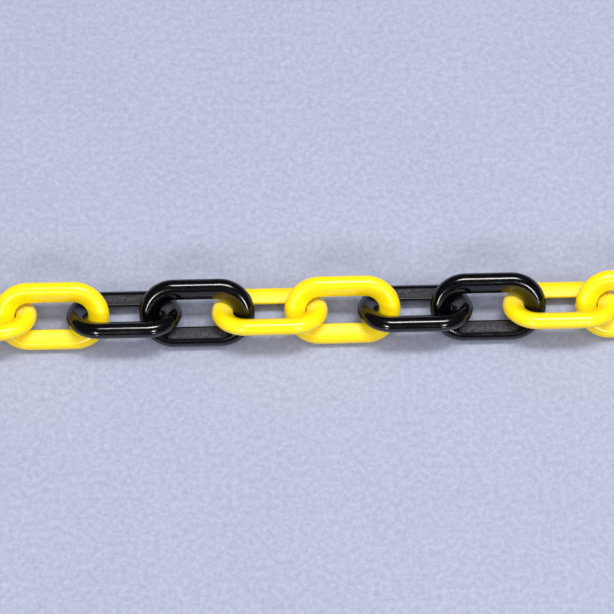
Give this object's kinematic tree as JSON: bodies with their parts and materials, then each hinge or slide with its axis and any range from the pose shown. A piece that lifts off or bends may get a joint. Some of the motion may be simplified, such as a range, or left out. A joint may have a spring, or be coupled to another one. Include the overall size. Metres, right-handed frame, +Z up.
{
  "type": "plastic barrier chain",
  "caption": "Straight length of moulded plastic barrier chain: plain closed oval links, black and yellow in alternating pairs, each link free to swing on the one before it.",
  "frame": {"origin": "middle of the chain's length and width, on the surface that it lies on", "axes": "+X along the chain from the first link to the last, +Y across it, +Z up"},
  "size_m": [0.7206, 0.0262, 0.0217],
  "materials": {
    "black_plastic": "glossy moulded black polyethylene, dull and rough on the flats of the inner side",
    "yellow_plastic": "glossy moulded safety-yellow polyethylene, slightly deeper in the folds"
  },
  "bodies": {
    "link_01": {"black_link_01": "black_plastic"},
    "link_02": {"black_link_02": "black_plastic"},
    "link_03": {"yellow_link_03": "yellow_plastic"},
    "link_04": {"yellow_link_04": "yellow_plastic"},
    "link_05": {"black_link_05": "black_plastic"},
    "link_06": {"black_link_06": "black_plastic"},
    "link_07": {"yellow_link_07": "yellow_plastic"},
    "link_08": {"yellow_link_08": "yellow_plastic"},
    "link_09": {"black_link_09": "black_plastic"},
    "link_10": {"black_link_10": "black_plastic"},
    "link_11": {"yellow_link_11": "yellow_plastic"},
    "link_12": {"yellow_link_12": "yellow_plastic"},
    "link_13": {"black_link_13": "black_plastic"},
    "link_14": {"black_link_14": "black_plastic"},
    "link_15": {"yellow_link_15": "yellow_plastic"},
    "link_16": {"yellow_link_16": "yellow_plastic"},
    "link_17": {"black_link_17": "black_plastic"},
    "link_18": {"black_link_18": "black_plastic"},
    "link_19": {"yellow_link_19": "yellow_plastic"},
    "link_20": {"yellow_link_20": "yellow_plastic"},
    "link_21": {"black_link_21": "black_plastic"},
    "link_22": {"black_link_22": "black_plastic"}
  },
  "joints": [
    {"name": "swing_01_02", "type": "hinge", "parent": "link_01", "child": "link_02", "pos_m": [-0.31405, 0, 0.01086], "axis": [0, -0.6088, 0.7934], "range_deg": [-110, 110]},
    {"name": "swing_02_03", "type": "hinge", "parent": "link_02", "child": "link_03", "pos_m": [-0.28215, 0, 0.01086], "axis": [0, 0.6088, 0.7934], "range_deg": [-110, 110]},
    {"name": "swing_03_04", "type": "hinge", "parent": "link_03", "child": "link_04", "pos_m": [-0.25027, 0, 0.01086], "axis": [0, 0.6088, -0.7934], "range_deg": [-110, 110]},
    {"name": "swing_04_05", "type": "hinge", "parent": "link_04", "child": "link_05", "pos_m": [-0.21838, 0, 0.01086], "axis": [0, -0.6088, -0.7934], "range_deg": [-110, 110]},
    {"name": "swing_05_06", "type": "hinge", "parent": "link_05", "child": "link_06", "pos_m": [-0.18649, 0, 0.01086], "axis": [0, -0.6088, 0.7934], "range_deg": [-110, 110]},
    {"name": "swing_06_07", "type": "hinge", "parent": "link_06", "child": "link_07", "pos_m": [-0.1546, 0, 0.01086], "axis": [0, 0.6088, 0.7934], "range_deg": [-110, 110]},
    {"name": "swing_07_08", "type": "hinge", "parent": "link_07", "child": "link_08", "pos_m": [-0.1227, 0, 0.01086], "axis": [0, 0.6088, -0.7934], "range_deg": [-110, 110]},
    {"name": "swing_08_09", "type": "hinge", "parent": "link_08", "child": "link_09", "pos_m": [-0.09082, 0, 0.01086], "axis": [0, -0.6088, -0.7934], "range_deg": [-110, 110]},
    {"name": "swing_09_10", "type": "hinge", "parent": "link_09", "child": "link_10", "pos_m": [-0.05892, 0, 0.01086], "axis": [0, -0.6088, 0.7934], "range_deg": [-110, 110]},
    {"name": "swing_10_11", "type": "hinge", "parent": "link_10", "child": "link_11", "pos_m": [-0.02704, 0, 0.01086], "axis": [0, 0.6088, 0.7934], "range_deg": [-110, 110]},
    {"name": "swing_11_12", "type": "hinge", "parent": "link_11", "child": "link_12", "pos_m": [0.00485, 0, 0.01086], "axis": [0, 0.6088, -0.7934], "range_deg": [-110, 110]},
    {"name": "swing_12_13", "type": "hinge", "parent": "link_12", "child": "link_13", "pos_m": [0.03674, 0, 0.01086], "axis": [0, -0.6088, -0.7934], "range_deg": [-110, 110]},
    {"name": "swing_13_14", "type": "hinge", "parent": "link_13", "child": "link_14", "pos_m": [0.06864, 0, 0.01086], "axis": [0, -0.6088, 0.7934], "range_deg": [-110, 110]},
    {"name": "swing_14_15", "type": "hinge", "parent": "link_14", "child": "link_15", "pos_m": [0.10053, 0, 0.01086], "axis": [0, 0.6088, 0.7934], "range_deg": [-110, 110]},
    {"name": "swing_15_16", "type": "hinge", "parent": "link_15", "child": "link_16", "pos_m": [0.13242, 0, 0.01086], "axis": [0, 0.6088, -0.7934], "range_deg": [-110, 110]},
    {"name": "swing_16_17", "type": "hinge", "parent": "link_16", "child": "link_17", "pos_m": [0.16431, 0, 0.01086], "axis": [0, -0.6088, -0.7934], "range_deg": [-110, 110]},
    {"name": "swing_17_18", "type": "hinge", "parent": "link_17", "child": "link_18", "pos_m": [0.1962, 0, 0.01086], "axis": [0, -0.6088, 0.7934], "range_deg": [-110, 110]},
    {"name": "swing_18_19", "type": "hinge", "parent": "link_18", "child": "link_19", "pos_m": [0.22809, 0, 0.01086], "axis": [0, 0.6088, 0.7934], "range_deg": [-110, 110]},
    {"name": "swing_19_20", "type": "hinge", "parent": "link_19", "child": "link_20", "pos_m": [0.25998, 0, 0.01086], "axis": [0, 0.6088, -0.7934], "range_deg": [-110, 110]},
    {"name": "swing_20_21", "type": "hinge", "parent": "link_20", "child": "link_21", "pos_m": [0.29186, 0, 0.01086], "axis": [0, -0.6088, -0.7934], "range_deg": [-110, 110]},
    {"name": "swing_21_22", "type": "hinge", "parent": "link_21", "child": "link_22", "pos_m": [0.32376, 0, 0.01086], "axis": [0, -0.6088, 0.7934], "range_deg": [-110, 110]}
  ]
}
